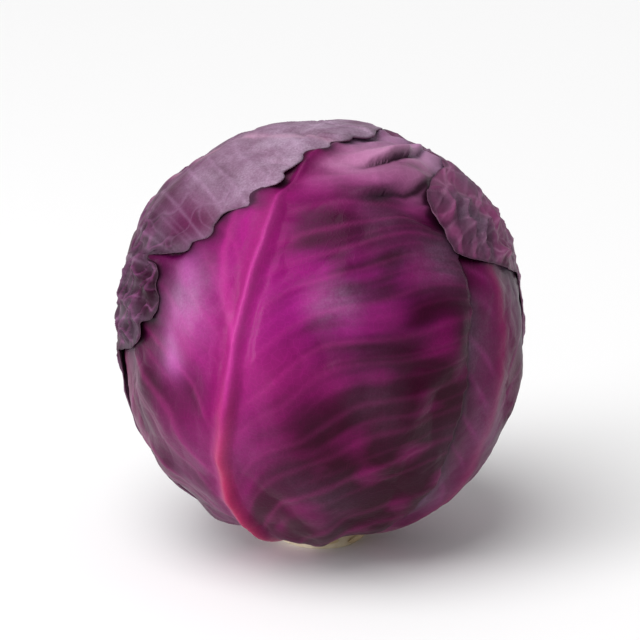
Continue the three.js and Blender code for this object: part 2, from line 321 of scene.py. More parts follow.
def paint_front(leaf, spots, inside, marks):
    """The magenta front leaf: vivid beside the rib, streaked aubergine further out, and darker towards its
    lower right, partly with painted shade.
    """
    across, along = spots[:, 0], spots[:, 1]
    vein, rank, away = marks["vein"], marks["rank"], marks["away"]
    skin = np.tile(np.array(linear("#4E0A3A")), (len(spots), 1))
    streak = streaks(leaf, rank, away, 11)
    cloud = waves(spots, 38.0, leaf.seed + 13)
    patch = waves(spots, 15.0, leaf.seed + 15)
    left = away < 0
    vivid = np.where(left, bump(away, 20), bump(away, 17)) * (0.8 + 0.2 * cloud)
    vivid *= 0.35 + 0.65 * smooth(along, -48, -8)
    # darker aubergine towards the lower right: partly the leaf's own colour, partly painted shade
    skin = tint(skin, "#36051F", smooth(-along + 0.8 * across, 2, 48) * np.where(left, 0.25, 0.9))
    skin = tint(skin, "#470B32", smooth(-along, -6, 30) * left * 0.92)
    skin = tint(skin, "#950F72", vivid)
    middle = bump(np.hypot((across - 24) / 1.5, along - 14), 17)
    skin = tint(skin, "#9C1680", middle * (0.5 + 0.3 * streak))
    skin = tint(skin, "#8E176B", np.clip(0.42 * streak + 0.2 * patch, 0, 1) * (0.55 - 0.3 * left))
    skin = tint(skin, "#3A0426", np.clip(-0.5 * streak - 0.25 * patch, 0, 1) * (1 - 0.85 * bump(away, 14)))
    band = bump(np.hypot((across - 28) / 2.6, along - 38 + 0.12 * across), 6.5)
    skin = tint(skin, "#330522", 0.8 * band * (0.85 + 0.3 * streak))
    skin = tint(skin, "#A8357F", vein * 0.27)
    sheen = bump(np.hypot((across - 14) / 1.4, along + 8), 8)
    skin = tint(skin, "#A02A78", 0.45 * sheen)
    skin = tint(skin, "#AE3A8E", 0.5 * bump(np.hypot(across + 13, along + 3), 8))
    fan = smooth(along, 38, 58) * smooth(away, -4, 10)
    skin = tint(skin, "#A04A86", fan * (0.5 + 0.3 * streak))
    skin = tint(skin, "#B583A4", fan * smooth(along, 44, 66) * (0.75 + 0.25 * streak))
    # painted highlight: two soft pale patches left of the rib, tinted into the skin here and also added to
    # the pale dusting further down
    painted_highlight = bump(np.hypot((across + 15) / 1.1, (along - 10) / 1.6), 6.5)
    painted_highlight = np.maximum(painted_highlight, 0.9 * bump(np.hypot(across + 21, (along + 6) / 1.3), 5.5))
    skin = tint(skin, "#540A42", 0.9 * bump(np.hypot((across + 27) / 1.2, (along - 21) / 1.4), 8))
    skin = tint(skin, "#B257A2", painted_highlight * (0.5 + 0.25 * patch))
    glow = bump(away + 1.5, 3.6) * smooth(along, -85, -50)
    skin = tint(skin, "#8E1467", glow * 0.8)
    low = smooth(-along, 2, 40)
    skin = tint(skin, "#A8305F", bump(away, 2.1) * low)
    # a paler line along the rib's crest: partly its own colour, partly a painted highlight
    skin = tint(skin, "#AE3488", bump(away, 1.2) * (1 - low) * smooth(-along, -70, -20) * 0.9)
    side_rib, share, _ = along_line(spots, [(1, 0), (-3, 12), (-7, 23), (-7, 32), (-6, 44)])
    # the side rib's paler line: partly its own colour, partly a painted highlight
    skin = tint(skin, "#B03488", bump(side_rib, 1.5) * (1 - 0.6 * share) * 0.75)
    pale = smooth(-along, 70, 88)
    skin = tint(skin, "#D9A3B4", pale * bump(away, 14) * 0.8)
    # the pale dusting here is partly the leaf's own bloom (all over, towards the top, and low on the left)
    # and partly painted light: a painted reflection far to the right, the painted highlight patches on the
    # left, and a speckled painted highlight right of the middle
    bloom = 0.015 + 0.03 * cloud + 0.25 * bump(np.hypot(across - 54, along - 30), 8)
    bloom += 0.3 * painted_highlight + 0.5 * smooth(along, 60, 82)
    bloom += 0.3 * bump(np.hypot(across - 27, along - 13), 6) + 0.1 * smooth(-along, 15, 50) * left
    return skin, bloom


def paint_dusky(leaf, spots, inside, marks):
    """The outermost leaf: dull purple under a greyish bloom, with a net of pale veins."""
    vein, net = marks["vein"], marks["net"]
    cloud = waves(spots, 30.0, leaf.seed + 13)
    patch = waves(spots, 17.0, leaf.seed + 14)
    skin = np.tile(np.array(linear("#70335B")), (len(spots), 1))
    # darker towards the leaf's base and left flap, paler towards the crown: partly the leaf's own tone,
    # partly painted light falling from above
    skin = tint(skin, "#48143A", 0.85 + 0.12 * cloud - 0.8 * smooth(spots[:, 1], 5, 60))
    skin = tint(skin, "#84507A", 0.12 * patch + 0.2)
    skin = tint(skin, "#A88CA4", np.maximum(vein * 0.5, net * 0.28))
    skin = tint(skin, "#96618A", marks["crease"] * 0.4)
    skin = tint(skin, "#4A1C3C", bump(inside, 1.1) * 0.6)
    skin = tint(skin, "#CDA0B6", bump(marks["away"], 2.6) * 0.5)
    skin = tint(skin, "#D9A9BA", smooth(-spots[:, 1], 68, 88) * bump(marks["away"], 14) * 0.8)
    # the dusting thickens towards the crown: partly real bloom, partly painted light from above
    bloom = 0.05 + 0.03 * cloud + 0.02 * patch + 0.55 * smooth(spots[:, 1], 25, 80)
    return skin, bloom


def paint_crumpled(leaf, spots, inside, marks):
    """The crumpled right leaf: dusky purple, with painted shade in its creases."""
    vein, net = marks["vein"], marks["net"]
    cloud = waves(spots, 24.0, leaf.seed + 13)
    skin = np.tile(np.array(linear("#83406A")), (len(spots), 1))
    skin = tint(skin, "#4A1238", 0.3 + 0.3 * cloud)
    skin = tint(skin, "#B98AA8", np.maximum(vein * 0.5, net * 0.38))
    # painted shade in the hollows between the crumple ridges
    skin = tint(skin, "#3C0B2E", np.clip(marks["crease"] - 0.6, 0, 1) * 0.8)
    skin = tint(skin, "#3A112E", bump(inside, 1.2) * 0.6)
    skin = tint(skin, "#D9A9BA", smooth(-spots[:, 1], 68, 88) * bump(marks["away"], 14) * 0.8)
    bloom = 0.14 + 0.07 * cloud
    return skin, bloom


def paint_purple(leaf, spots, inside, marks):
    """The deeper wrapper leaves: dark glossy purple with magenta veins."""
    vein, rank, away = marks["vein"], marks["rank"], marks["away"]
    cloud = waves(spots, 34.0, leaf.seed + 13)
    streak = streaks(leaf, rank, away, 11)
    skin = np.tile(np.array(linear("#4C1039")), (len(spots), 1))
    skin = tint(skin, "#2E0722", 0.45 + 0.35 * cloud)
    skin = tint(skin, "#7A185C", bump(away, 15) * 0.75)
    skin = tint(skin, "#84206A", np.clip(0.4 * streak, 0, 1) * 0.7)
    skin = tint(skin, "#9A3A7E", vein * 0.5)
    skin = tint(skin, "#8E2C66", bump(away, 2.2) * 0.8)
    skin = tint(skin, "#D9A9BA", smooth(-spots[:, 1], 68, 88) * bump(away, 14) * 0.8)
    bloom = 0.1 + 0.08 * cloud
    return skin, bloom


# ---------------------------------------------------------------- folds that belong to one leaf

def work_front(leaf, spots, inside, marks):
    """Two folds that open towards the crown's right, the groove beside the rib, and the side rib."""
    height = np.zeros(len(spots))
    shade = np.zeros(len(spots))
    folds = (
        ([(18, 57), (26, 60), (32, 63), (38, 70), (41, 80), (43, 91), (46, 98), (53, 104)], 5.0),
        ([(24, 45), (33, 48), (37, 51), (41, 52), (44, 55), (47, 59), (50, 64), (56, 70)], 3.8),
    )
    for line, depth in folds:
        distance, share, side = along_line(spots, line)
        opened = smooth(share, 0.0, 0.3) * (1 - 0.9 * smooth(share, 0.35, 0.75))
        parted = smooth(share, 0.0, 0.3) * (1 - 0.5 * smooth(share, 0.8, 1.0))
        signed = distance * side * MM_PER_DEGREE
        lip = np.where(signed > -0.8, np.exp(-np.abs(signed) / 9.0), 0.0) * smooth(signed, -0.8, 2.6)
        trough = np.where(signed <= 0, np.exp(signed / 3.0), 0.0)
        height += depth * opened * (lip - 0.42 * trough)
        shade += 1.2 * parted * bump(signed + 1.0, 1.7)
    rib = marks["away"]
    along = spots[:, 1]
    gathers = np.stack([marks["rank"], np.abs(rib) / 3.5], -1)
    height += 1.2 * smooth(along, 24, 55) * smooth(rib, 2, 14) * waves(gathers, 13.0, leaf.seed + 24)
    strength = smooth(-along, -85, -10) * 0.8 + 0.2
    height += 2.1 * strength * bump(rib, 2.0 - 1.1 * smooth(along, -40, 45))
    height -= 0.8 * strength * (bump(rib - 3.7, 1.4) + 0.6 * bump(rib + 4.0, 1.6))
    side_rib, share, _ = along_line(spots, [(1, 0), (-3, 12), (-7, 23), (-7, 32), (-6, 44)])
    height += 0.7 * (1 - 0.5 * share) * bump(side_rib, 1.7)
    marks["shade"] = np.clip(shade, 0, 1)
    return height


def work_crown(leaf, spots, inside, marks):
    """The left flap is crumpled, and the crown side drops in facets between its veins."""
    flap = smooth(-spots[:, 1], -34, -22) * smooth(spots[:, 0], 18, 34)
    points = spots * MM_PER_DEGREE
    crushed = creases(points * np.array([1.0, 0.45]), 9.0, leaf.seed + 21) - 0.4
    height = flap * (1.5 * crushed + 0.8 * waves(points, 12.0, leaf.seed + 22))
    marks["crease"] = flap * smooth(crushed, 0.2, 0.5)
    marks["shade"] = flap * np.clip(0.35 - crushed, 0, 1) * 0.8
    return height


def work_right(leaf, spots, inside, marks):
    """Crushed folds running along the tongue of the leaf, with a curled lower edge."""
    turned = spots @ np.array([[0.87, -0.5], [0.5, 0.87]]) * MM_PER_DEGREE
    stretched = turned * np.array([0.55, 1.0])
    crushed = creases(stretched, 13.0, leaf.seed + 21) - 0.4
    height = 1.9 * crushed + 0.7 * waves(stretched, 8.0, leaf.seed + 22)
    fade = smooth(-spots[:, 0], 30, 48)
    # the hollows between the crushed folds are marked for painted shade
    marks["shade"] = np.clip(0.2 - crushed, 0, 1) * fade * 0.6
    marks["crease"] = np.clip(0.6 - crushed, 0, 1) * fade
    return height * (0.12 + 0.88 * fade) * (0.3 + 0.7 * smooth(inside, 0, 9))


# The wrapper leaves from the outermost inwards, each a golden turn on from the last
WRAPPERS = [
    Leaf("wrapper_leaf_crown", -110, 100, CROWN_OUTLINE, seed=3, soften=0.5, rough_edge=0.45, crumple=0.45,
         quilt=0.25, cell=15.0, facet=0.8, vein_width=0.85, veins=0.3, lift=0.75, depth=1.4,
         vein_step=11.0, paint=paint_dusky, extra=work_crown, fineness=241),
    Leaf("wrapper_leaf_right", 125, 105, RIGHT_OUTLINE, seed=5, soften=1.0, rough_edge=0.8, crumple=0.8,
         quilt=0.3, facet=0.5, cell=12.0, vein_width=0.9, veins=0.8, lift=0.7, depth=1.15,
         still_rear=True, paint=paint_crumpled, extra=work_right, fineness=241),
    Leaf("wrapper_leaf_front", -24, 100, FRONT_OUTLINE, seed=8, soften=2.0, rough_edge=0.8, crumple=1.0,
         quilt=0.1, veins=0.22, vein_step=12.0, lift=0.35, depth=1.12, rib=1.2,
         rib_line=FRONT_RIB, paint=paint_front, extra=work_front, fineness=241),
    Leaf("wrapper_leaf_back", -162.5, 100, PLAIN_OUTLINE, seed=13, crumple=0.5, quilt=0.2,
         paint=paint_purple),
    Leaf("wrapper_leaf_front_right", 60, 100, PLAIN_OUTLINE, seed=17, crumple=0.5, quilt=0.25,
         paint=paint_purple),
    Leaf("wrapper_leaf_left", -77.5, 100, PLAIN_OUTLINE, seed=19, crumple=0.5, quilt=0.2, paint=paint_purple),
    Leaf("wrapper_leaf_back_right", 145, 100, PLAIN_OUTLINE, seed=23, paint=paint_purple, fineness=91),
    Leaf("wrapper_leaf_under_front", 7.5, 100, PLAIN_OUTLINE, seed=29, paint=paint_purple, fineness=91),
]


def lay_height(ways, order, width, thickness):
    """Distance from the middle to the underside of a wrapper leaf, laid over all inside it."""
    step = thickness + LEAF_GAP
    height = egg_radius(ways, width, CROWN_HEIGHT, BASE_DEPTH)
    for index, leaf in enumerate(WRAPPERS):
        spots, inside = leaf.place(ways)
        cover = 1 - smooth(-inside, 1.0, 20.0)
        height -= step * cover
        if index > order:
            height += step * cover + leaf.swelling(spots) * smooth(inside, -4, 4)
    return height


def square_to_disc(fineness):
    """A square net of points bent evenly into a disc: angle in degrees and share of the reach."""
    line = np.linspace(-1, 1, fineness)
    a, b = np.meshgrid(line, line, indexing="ij")
    wide = np.abs(a) >= np.abs(b)
    safe_a = np.where(a == 0, 1, a)
    safe_b = np.where(b == 0, 1, b)
    radius = np.where(wide, a, b)
    turn = np.where(wide, 45 * b / safe_a, 90 - 45 * a / safe_b)
    turn = np.where(radius < 0, turn + 180, turn)
    return turn.ravel(), np.abs(radius).ravel()


def net_faces(fineness, first=0, flip=False):
    index = np.arange(fineness * fineness).reshape(fineness, fineness) + first
    quads = np.stack([index[:-1, :-1], index[1:, :-1], index[1:, 1:], index[:-1, 1:]], axis=-1)
    quads = quads.reshape(-1, 4)
    return quads[:, ::-1] if flip else quads


def rim_loop(fineness, first=0):
    index = np.arange(fineness * fineness).reshape(fineness, fineness) + first
    return np.concatenate([index[:-1, 0], index[-1, :-1], index[:0:-1, -1], index[0, :0:-1]])


def leaf_mesh(name, top, bottom, fineness, coarse):
    """A closed leaf: a fine outer skin, a plainer inner skin and a rim between them."""
    ratio = (fineness - 1) // (coarse - 1)
    count = fineness * fineness
    outer_rim = rim_loop(fineness)
    inner_rim = rim_loop(coarse, count)
    faces = [tuple(face) for face in net_faces(fineness)]
    faces += [tuple(face) for face in net_faces(coarse, count, flip=True)]
    for place, start in enumerate(inner_rim):
        end = inner_rim[(place + 1) % len(inner_rim)]
        run = [outer_rim[(place * ratio + step) % len(outer_rim)] for step in range(ratio + 1)]
        middle = ratio // 2
        for step in range(ratio):
            faces.append((run[step + 1], run[step], start if step <= middle else end))
            if step == middle:
                faces.append((run[step + 1], start, end))
    points = (np.concatenate([top, bottom]) + np.array([AXIS_X, AXIS_Y, WAIST_HEIGHT])) * MM
    mesh = bpy.data.meshes.new(name)
    mesh.from_pydata(points.tolist(), [], faces)
    mesh.validate()
    mesh.polygons.foreach_set("use_smooth", [True] * len(mesh.polygons))
    return mesh


def add_marks(mesh, marks):
    """Store what each point of the skin carries, so the material can follow the leaf."""
    for name, values in marks.items():
        is_colour = values.ndim == 2
        kind = "FLOAT_COLOR" if is_colour else "FLOAT"
        attribute = mesh.attributes.new(name, kind, "POINT")
        if is_colour:
            full = np.concatenate([values, np.ones((len(values), 1))], axis=1)
            attribute.data.foreach_set("color", full.astype(np.float32).ravel())
        else:
            attribute.data.foreach_set("value", values.astype(np.float32))


def build_leaf(order, width, thickness, relief):
    leaf = WRAPPERS[order]
    fineness = leaf.fineness
    turn, share = square_to_disc(fineness)
    reach = leaf.reach_at(turn)
    spots = np.stack([np.cos(np.radians(turn)), np.sin(np.radians(turn))], -1) * (reach * share)[:, None]
    ways = leaf.aim(spots)
    inside = reach * (1 - share)
    points = spots * MM_PER_DEGREE
    body = ways * HEAD_RADIUS
    vein, rank, away = side_veins(leaf, spots)
    bent = points + 1.6 * np.stack([waves(points, 18, 1), waves(points, 18, 2)], -1)
    walls, tilt = cells(bent, leaf.cell, leaf.seed + 31, stretch=1.35)
    net = bump(walls, 0.9)
    marks = {"vein": vein, "rank": rank, "away": away, "net": net,
             "crease": np.zeros(len(spots)), "shade": np.zeros(len(spots))}
    blade = 1.0 * leaf.crumple * waves(body, 30.0, leaf.seed + 2)
    blade += 0.22 * leaf.crumple * waves(body, 13.0, leaf.seed + 3)
    blade += leaf.quilt * (smooth(walls, 0.0, 0.42 * leaf.cell) - 0.5)
    blade += leaf.facet * tilt * smooth(walls, 0.0, 2.0)
    blade += leaf.veins * vein - 0.25 * leaf.veins * net
    blade += 0.5 * leaf.veins * net * leaf.quilt
    if leaf.extra is not None:
        blade += leaf.extra(leaf, spots, inside, marks)
    nearness = np.full(len(spots), -99.0)
    for outer in WRAPPERS[:order]:
        nearness = np.maximum(nearness, outer.place(ways)[1])
    buried = smooth(nearness, -1.0, 3.0)
    blade = blade * relief * smooth(inside + 1.0, 0.0, 3.0) * (1 - 0.8 * buried) + leaf.swelling(spots)
    edge = 1 - smooth(inside, 0.0, 7.0)
    clear_of_stem = smooth(np.degrees(np.arccos(np.clip(-ways[:, 2], -1, 1))), 14, 30)
    calm = smooth(-spots[:, 0], 24, 44) if leaf.still_rear else 1.0
    lifted = calm * leaf.lift * edge * (0.7 + 0.5 * waves(body, 16.0, leaf.seed + 4)) * clear_of_stem
    under = lay_height(ways, order, width, thickness) + np.maximum(lifted, -0.2)
    sheet = thickness * (0.5 + 0.5 * smooth(inside, 0.0, 5.0))
    top = under + np.maximum(sheet + blade, 0.35)
    coarse = (fineness - 1) // 3 + 1
    pick = (np.arange(coarse) * 3)[:, None] * fineness + (np.arange(coarse) * 3)[None, :]
    pick = pick.ravel()
    mesh = leaf_mesh(leaf.name + "_skin", ways * top[:, None], ways[pick] * under[pick, None],
                     fineness, coarse)
    skin, bloom = leaf.paint(leaf, spots, inside, marks)
    # painted shade: the skin is darkened where it runs beside and under the margins of the leaves lying over
    # it, softly up to 8 degrees out
    skin = tint(skin, "#300722", 0.5 * smooth(nearness, -8.0, 0.0))
    # more painted shade: strong within 2 degrees of an overlying margin, and in the fold gaps and crumple
    # hollows marked as shade
    skin = tint(skin, "#240519", np.maximum(marks["shade"] * 0.85, 0.85 * smooth(nearness, -2.2, 0.1)))
    skin = np.clip(skin, 0, 1) ** leaf.depth
    flesh = tint(skin[pick], "#B98AA8", np.full(len(pick), 0.6))
    add_marks(mesh, {
        "skin": np.concatenate([np.clip(skin, 0, 1), flesh]),
        "bloom": np.concatenate([np.clip(bloom, 0, 1), np.zeros(len(pick))]),
    })
    return mesh


# ---------------------------------------------------------------- materials

def add_node(tree, kind, settings=None, values=None, links=None):
    """Add a node, set its fields and input values, and link inputs from other sockets."""
    node = tree.nodes.new(kind)
    for name, value in (settings or {}).items():
        setattr(node, name, value)
    for name, value in (values or {}).items():
        node.inputs[name].default_value = value
    for name, socket in (links or {}).items():
        tree.links.new(socket, node.inputs[name])
    return node


def new_material(name):
    material = bpy.data.materials.new(name)
    material.use_nodes = True
    material.node_tree.nodes.clear()
    return material, material.node_tree


def leaf_skin(name, roughness, dust_colour):
    """Waxy cabbage leaf: a moist coloured skin that looks satin through a thin dusty bloom."""
    material, tree = new_material(name)
    skin = add_node(tree, "ShaderNodeAttribute", {"attribute_name": "skin"})
    bloom = add_node(tree, "ShaderNodeAttribute", {"attribute_name": "bloom"})
    where = add_node(tree, "ShaderNodeTexCoord")
    # fine net of tertiary veins, about 2.6 mm apart
    net = add_node(tree, "ShaderNodeTexVoronoi", {"feature": "DISTANCE_TO_EDGE"},
                   {"Scale": 380.0, "Randomness": 0.9}, {"Vector": where.outputs["Object"]})
    net_line = add_node(tree, "ShaderNodeMapRange", None,
                        {"From Min": 0.0, "From Max": 0.09, "To Min": 1.0, "To Max": 0.0},
                        {"Value": net.outputs["Distance"]})
    # wax specks about 0.8 mm across, in clouds about 12 mm across
    speck = add_node(tree, "ShaderNodeTexNoise", None, {"Scale": 1250.0, "Detail": 3.0, "Roughness": 0.7},
                     {"Vector": where.outputs["Object"]})
    cloud = add_node(tree, "ShaderNodeTexNoise", None, {"Scale": 85.0, "Detail": 4.0, "Roughness": 0.6},
                     {"Vector": where.outputs["Object"]})
    speck_level = add_node(tree, "ShaderNodeMapRange", None,
                           {"From Min": 0.36, "From Max": 0.68, "To Min": 0.6, "To Max": 1.0},
                           {"Value": speck.outputs["Fac"]})
    cloud_level = add_node(tree, "ShaderNodeMapRange", None,
                           {"From Min": 0.3, "From Max": 0.7, "To Min": 0.45, "To Max": 1.25},
                           {"Value": cloud.outputs["Fac"]})
    dust = add_node(tree, "ShaderNodeMath", {"operation": "MULTIPLY"}, None,
                    {0: speck_level.outputs[0], 1: cloud_level.outputs[0]})
    # the pale dusting laid here is the leaf's real bloom and, on the front leaf, painted highlights and a
    # painted reflection as well
    dust_and_sheen = add_node(tree, "ShaderNodeMath", {"operation": "MULTIPLY", "use_clamp": True}, None,
                          {0: dust.outputs[0], 1: bloom.outputs["Fac"]})
    net_soft = add_node(tree, "ShaderNodeMath", {"operation": "MULTIPLY"}, {1: 0.16},
                        {0: net_line.outputs[0]})
    veined = add_node(tree, "ShaderNodeMix", {"data_type": "RGBA", "blend_type": "SCREEN"}, None,
                      {0: net_soft.outputs[0], 6: skin.outputs["Color"], 7: skin.outputs["Color"]})
    dusted = add_node(tree, "ShaderNodeMix", {"data_type": "RGBA"},
                      {7: (*linear(dust_colour), 1.0)},
                      {0: dust_and_sheen.outputs[0], 6: veined.outputs[2]})
    rough = add_node(tree, "ShaderNodeMapRange", None,
                     {"From Min": 0.0, "From Max": 1.0, "To Min": roughness, "To Max": roughness + 0.25},
                     {"Value": dust_and_sheen.outputs[0]})
    relief_a = add_node(tree, "ShaderNodeMath", {"operation": "MULTIPLY_ADD"}, {1: 0.35},
                        {0: net_line.outputs[0], 2: speck.outputs["Fac"]})
    relief_b = add_node(tree, "ShaderNodeMath", {"operation": "MULTIPLY_ADD"}, {1: 0.8},
                        {0: cloud.outputs["Fac"], 2: relief_a.outputs[0]})
    dent = add_node(tree, "ShaderNodeBump", None, {"Strength": 0.22, "Distance": 0.00035},
                    {"Height": relief_b.outputs[0]})
    shader = add_node(tree, "ShaderNodeBsdfPrincipled", None,
                      {"IOR": 1.42, "Specular IOR Level": 0.11},
                      {"Base Color": dusted.outputs[2], "Roughness": rough.outputs[0],
                       "Normal": dent.outputs[0]})
    add_node(tree, "ShaderNodeOutputMaterial", None, None, {"Surface": shader.outputs[0]})
    return material


def inner_flesh(name, dark, pale):
    """Tender leaf tissue: pale flesh under a thin coloured skin, matt and moist."""
    material, tree = new_material(name)
    where = add_node(tree, "ShaderNodeTexCoord")
    patch = add_node(tree, "ShaderNodeTexNoise", None, {"Scale": 70.0, "Detail": 5.0},
                     {"Vector": where.outputs["Object"]})
    ramp = add_node(tree, "ShaderNodeMapRange", None, {"From Min": 0.35, "From Max": 0.65},
                    {"Value": patch.outputs["Fac"]})
    colour = add_node(tree, "ShaderNodeMix", {"data_type": "RGBA"},
                      {6: (*linear(dark), 1.0), 7: (*linear(pale), 1.0)}, {0: ramp.outputs[0]})
    dent = add_node(tree, "ShaderNodeBump", None, {"Strength": 0.3, "Distance": 0.0004},
                    {"Height": patch.outputs["Fac"]})
    shader = add_node(tree, "ShaderNodeBsdfPrincipled", None, {"Roughness": 0.45, "IOR": 1.4},
                      {"Base Color": colour.outputs[2], "Normal": dent.outputs[0]})
    add_node(tree, "ShaderNodeOutputMaterial", None, None, {"Surface": shader.outputs[0]})
    return material


def stem_flesh():
    """Cut cabbage stem: pale, fibrous and slightly dried, with browner stains."""
    material, tree = new_material("Cut Stem Flesh")
    where = add_node(tree, "ShaderNodeTexCoord")
    grain = add_node(tree, "ShaderNodeTexNoise", None, {"Scale": 420.0, "Detail": 6.0, "Roughness": 0.65},
                     {"Vector": where.outputs["Object"]})
    stain = add_node(tree, "ShaderNodeTexNoise", None, {"Scale": 95.0, "Detail": 3.0},
                     {"Vector": where.outputs["Object"]})
    ramp = add_node(tree, "ShaderNodeMapRange", None, {"From Min": 0.42, "From Max": 0.72},
                    {"Value": stain.outputs["Fac"]})
    colour = add_node(tree, "ShaderNodeMix", {"data_type": "RGBA"},
                      {6: (*linear("#E6DCC2"), 1.0), 7: (*linear("#C9B489"), 1.0)}, {0: ramp.outputs[0]})
    dent = add_node(tree, "ShaderNodeBump", None, {"Strength": 0.5, "Distance": 0.0005},
                    {"Height": grain.outputs["Fac"]})
    shader = add_node(tree, "ShaderNodeBsdfPrincipled", None, {"Roughness": 0.62, "IOR": 1.4},
                      {"Base Color": colour.outputs[2], "Normal": dent.outputs[0]})
    add_node(tree, "ShaderNodeOutputMaterial", None, None, {"Surface": shader.outputs[0]})
    return material


def shared_material(name, maker):
    return bpy.data.materials.get(name) or maker()


def finish_piece(mesh, material, nodes):
    piece = bpy.data.objects.new(mesh.name, mesh)
    bpy.context.scene.collection.objects.link(piece)
    if material is not None:
        mesh.materials.append(material)
    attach(piece, "root")
    if nodes:
        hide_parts(*nodes)
    return piece


# ---------------------------------------------------------------- node trees for what repeats

def new_tree(name, inputs):
    """An empty geometry tree with named inputs and a mesh output."""
    tree = bpy.data.node_groups.new(name, "GeometryNodeTree")
    for label, kind, value in inputs:
        socket = tree.interface.new_socket(label, in_out="INPUT", socket_type=kind)
        if value is not None:
            socket.default_value = value
    tree.interface.new_socket("Geometry", in_out="OUTPUT", socket_type="NodeSocketGeometry")
    return tree, add_node(tree, "NodeGroupInput")


def math_node(tree, operation, first, second=None):
    """A sum of two sockets or numbers."""
    node = add_node(tree, "ShaderNodeMath", {"operation": operation})
    for place, value in enumerate((first, second)):
        if isinstance(value, (int, float)):
            node.inputs[place].default_value = value
        elif value is not None:
            tree.links.new(value, node.inputs[place])
    return node.outputs[0]


def packed_leaf_tree():
    """A cupped, crumpled leaf: part of an egg-shaped skin around the core, given two faces and a rim."""
    tree, given = new_tree("Packed Leaf", [
        ("Half Width", "NodeSocketFloat", 0.06), ("Crown", "NodeSocketFloat", 0.058),
        ("Base", "NodeSocketFloat", 0.065), ("Level", "NodeSocketFloat", 0.085),
        ("Middle", "NodeSocketVector", None), ("Reach", "NodeSocketFloat", 1.4),
        ("Opening", "NodeSocketFloat", 0.3), ("Crumple", "NodeSocketFloat", 0.001),
        ("Thickness", "NodeSocketFloat", 0.001), ("Seed", "NodeSocketFloat", 1.0),
        ("Material", "NodeSocketMaterial", None)])
    take = given.outputs
    ball = add_node(tree, "GeometryNodeMeshIcoSphere", None, {"Radius": 1.0, "Subdivisions": 6})
    spot = add_node(tree, "GeometryNodeInputPosition")
    parts = add_node(tree, "ShaderNodeSeparateXYZ", None, None, {0: spot.outputs[0]})
    facing = add_node(tree, "ShaderNodeVectorMath", {"operation": "DOT_PRODUCT"}, None,
                      {0: spot.outputs[0], 1: take["Middle"]})
    ragged = add_node(tree, "ShaderNodeTexNoise", {"noise_dimensions": "4D"}, {"Scale": 3.0, "Detail": 3.0},
                      {"Vector": spot.outputs[0], "W": take["Seed"]})
    edge = math_node(tree, "ADD", take["Reach"], math_node(
        tree, "MULTIPLY", math_node(tree, "SUBTRACT", ragged.outputs[0], 0.5), 0.35))
    beyond = math_node(tree, "GREATER_THAN", math_node(tree, "ARCCOSINE", facing.outputs["Value"]), edge)
    from_foot = math_node(tree, "ARCCOSINE", math_node(tree, "MULTIPLY", parts.outputs[2], -1.0))
    in_opening = math_node(tree, "LESS_THAN", from_foot, take["Opening"])
    cut = add_node(tree, "GeometryNodeDeleteGeometry", {"domain": "FACE"}, None, {
        "Geometry": ball.outputs[0], "Selection": math_node(tree, "MAXIMUM", beyond, in_opening)})
    side = math_node(tree, "DIVIDE", math_node(tree, "SQRT", math_node(
        tree, "ADD", math_node(tree, "MULTIPLY", parts.outputs[0], parts.outputs[0]),
        math_node(tree, "MULTIPLY", parts.outputs[1], parts.outputs[1]))), take["Half Width"])
    rise = math_node(tree, "MAXIMUM", math_node(tree, "DIVIDE", parts.outputs[2], take["Crown"]),
                     math_node(tree, "DIVIDE", math_node(tree, "MULTIPLY", parts.outputs[2], -1.0),
                               take["Base"]))
    reach = math_node(tree, "POWER", math_node(
        tree, "ADD", math_node(tree, "POWER", side, INNER_FULLNESS),
        math_node(tree, "POWER", rise, INNER_FULLNESS)), -1 / INNER_FULLNESS)
    folds = add_node(tree, "ShaderNodeTexNoise", {"noise_dimensions": "4D"},
                     {"Scale": 4.5, "Detail": 2.0, "Roughness": 0.45},
                     {"Vector": spot.outputs[0], "W": take["Seed"]})
    swing = math_node(tree, "MULTIPLY", math_node(tree, "SUBTRACT", folds.outputs[0], 0.6),
                      math_node(tree, "MULTIPLY", take["Crumple"], 2.0))
    scaled = add_node(tree, "ShaderNodeVectorMath", {"operation": "SCALE"}, None,
                      {0: spot.outputs[0], "Scale": math_node(tree, "ADD", reach, swing)})
    lifted = add_node(tree, "ShaderNodeCombineXYZ", None, {0: AXIS_X * MM, 1: AXIS_Y * MM},
                      {2: take["Level"]})
    placed = add_node(tree, "ShaderNodeVectorMath", {"operation": "ADD"}, None,
                      {0: scaled.outputs[0], 1: lifted.outputs[0]})
    shaped = add_node(tree, "GeometryNodeSetPosition", None, None,
                      {"Geometry": cut.outputs[0], "Position": placed.outputs[0]})
    inward = math_node(tree, "MULTIPLY", take["Thickness"], -1.0)
    walls = add_node(tree, "GeometryNodeExtrudeMesh", None, {"Individual": False},
                     {"Mesh": shaped.outputs[0], "Offset Scale": inward})
    joined = add_node(tree, "GeometryNodeJoinGeometry")
    turned = add_node(tree, "GeometryNodeFlipFaces", None, None, {"Mesh": walls.outputs[0]})
    tree.links.new(turned.outputs[0], joined.inputs[0])
    tree.links.new(shaped.outputs[0], joined.inputs[0])
    welded = add_node(tree, "GeometryNodeMergeByDistance", None, {"Distance": 1e-6},
                      {"Geometry": joined.outputs[0]})
    smooth_skin = add_node(tree, "GeometryNodeSetShadeSmooth", None, None, {"Geometry": welded.outputs[0]})
    real = add_node(tree, "GeometryNodeRealizeInstances", None, None, {"Geometry": smooth_skin.outputs[0]})
    finished = add_node(tree, "GeometryNodeSetMaterial", None, None,
                        {"Geometry": real.outputs[0], "Material": take["Material"]})
    add_node(tree, "NodeGroupOutput", None, None, {0: finished.outputs[0]})
    return tree


